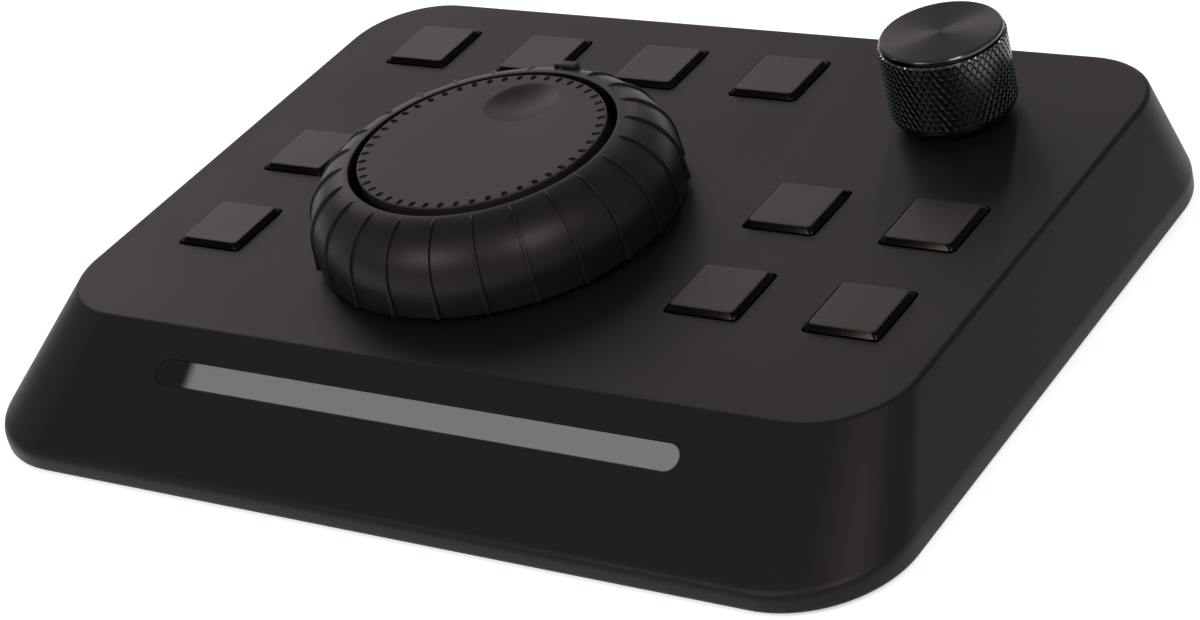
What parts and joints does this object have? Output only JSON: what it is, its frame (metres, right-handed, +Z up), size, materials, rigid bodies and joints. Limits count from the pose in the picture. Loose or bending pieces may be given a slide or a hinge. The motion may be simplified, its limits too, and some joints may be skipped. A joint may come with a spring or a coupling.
{
  "type": "macro keypad with dial",
  "caption": "Low desk macro keypad: square keys, a jog disc in a sprung shuttle ring, a knurled push knob and a light bar in a sloping front.",
  "frame": {"origin": "on the desk, under the middle of the housing", "axes": "+X towards the user's right, +Y towards the back, +Z up"},
  "size_m": [0.1772, 0.1326, 0.0349],
  "materials": {
    "shell": "fine-textured satin dark grey moulding",
    "base": "textured black moulding",
    "foot": "soft black rubber",
    "screw": "zinc-plated steel",
    "board": "green solder mask",
    "chip": "black epoxy",
    "switch": "black moulding",
    "plunger": "natural moulding",
    "socket": "plated stamped steel",
    "diffuser": "frosted translucent moulding",
    "lamp": "clear lamp bodies",
    "flex": "amber film",
    "casing": "dark moulded casing",
    "spring": "bright spring wire",
    "shaft": "turned steel",
    "grip": "soft-touch dark rubber skin",
    "disc": "flat warm grey coat",
    "rotor": "natural moulding",
    "core": "black moulding",
    "knob": "black anodised, spun face, knurled side",
    "key": "matte dark grey with glossier sides"
  },
  "bodies": {
    "housing": {"top_shell": "shell", "base_plate": "base", "rubber_feet": "foot", "case_screws": "screw", "main_board": "board", "board_chips": "chip", "switch_bodies": "switch", "usb_shell": "socket", "usb_tongue": "chip", "light_bar": "diffuser", "light_board": "board", "light_leds": "lamp", "light_flex": "flex", "dial_encoder": "casing", "shuttle_spring": "spring", "encoder_base": "casing", "encoder_body": "casing"},
    "shuttle": {"shuttle_sleeve": "shaft", "shuttle_ring": "grip"},
    "jog": {"jog_shaft": "shaft", "jog_disc": "disc"},
    "knob_rotor": {"encoder_rotor": "rotor"},
    "knob": {"encoder_shaft": "shaft", "knob_insert": "core", "knob": "knob"},
    "key_1": {"keycap_1": "key", "switch_plunger_1": "plunger"},
    "key_2": {"keycap_2": "key", "switch_plunger_2": "plunger"},
    "key_3": {"keycap_3": "key", "switch_plunger_3": "plunger"},
    "key_4": {"keycap_4": "key", "switch_plunger_4": "plunger"},
    "key_5": {"keycap_5": "key", "switch_plunger_5": "plunger"},
    "key_6": {"keycap_6": "key", "switch_plunger_6": "plunger"},
    "key_7": {"keycap_7": "key", "switch_plunger_7": "plunger"},
    "key_8": {"keycap_8": "key", "switch_plunger_8": "plunger"},
    "key_9": {"keycap_9": "key", "switch_plunger_9": "plunger"},
    "key_10": {"keycap_10": "key", "switch_plunger_10": "plunger"}
  },
  "joints": [
    {"name": "key_1_press", "type": "slide", "parent": "housing", "child": "key_1", "axis": [0, 0, -1], "range_m": [0, 0.0007], "stiffness_N_per_m": 150, "springref_m": -0.003},
    {"name": "key_2_press", "type": "slide", "parent": "housing", "child": "key_2", "axis": [0, 0, -1], "range_m": [0, 0.0007], "stiffness_N_per_m": 150, "springref_m": -0.003},
    {"name": "key_3_press", "type": "slide", "parent": "housing", "child": "key_3", "axis": [0, 0, -1], "range_m": [0, 0.0007], "stiffness_N_per_m": 150, "springref_m": -0.003},
    {"name": "key_4_press", "type": "slide", "parent": "housing", "child": "key_4", "axis": [0, 0, -1], "range_m": [0, 0.0007], "stiffness_N_per_m": 150, "springref_m": -0.003},
    {"name": "key_5_press", "type": "slide", "parent": "housing", "child": "key_5", "axis": [0, 0, -1], "range_m": [0, 0.0007], "stiffness_N_per_m": 150, "springref_m": -0.003},
    {"name": "key_6_press", "type": "slide", "parent": "housing", "child": "key_6", "axis": [0, 0, -1], "range_m": [0, 0.0007], "stiffness_N_per_m": 150, "springref_m": -0.003},
    {"name": "key_7_press", "type": "slide", "parent": "housing", "child": "key_7", "axis": [0, 0, -1], "range_m": [0, 0.0007], "stiffness_N_per_m": 150, "springref_m": -0.003},
    {"name": "key_8_press", "type": "slide", "parent": "housing", "child": "key_8", "axis": [0, 0, -1], "range_m": [0, 0.0007], "stiffness_N_per_m": 150, "springref_m": -0.003},
    {"name": "key_9_press", "type": "slide", "parent": "housing", "child": "key_9", "axis": [0, 0, -1], "range_m": [0, 0.0007], "stiffness_N_per_m": 150, "springref_m": -0.003},
    {"name": "key_10_press", "type": "slide", "parent": "housing", "child": "key_10", "axis": [0, 0, -1], "range_m": [0, 0.0007], "stiffness_N_per_m": 150, "springref_m": -0.003},
    {"name": "shuttle_turn", "type": "hinge", "parent": "housing", "child": "shuttle", "pos_m": [-0.0115, -0.00245, 0.0189], "axis": [0, 0, 1], "range_deg": [-70, 70], "stiffness_Nm_per_rad": 0.02, "deforming": ["shuttle_spring"]},
    {"name": "jog_spin", "type": "hinge", "parent": "housing", "child": "jog", "pos_m": [-0.0115, -0.00245, 0.0189], "axis": [0, 0, 1], "continuous": true},
    {"name": "knob_spin", "type": "hinge", "parent": "housing", "child": "knob_rotor", "pos_m": [0.052, 0.0428, 0.0189], "axis": [0, 0, 1], "continuous": true},
    {"name": "knob_press", "type": "slide", "parent": "knob_rotor", "child": "knob", "axis": [0, 0, -1], "range_m": [0, 0.0005], "stiffness_N_per_m": 1500, "springref_m": -0.002}
  ]
}
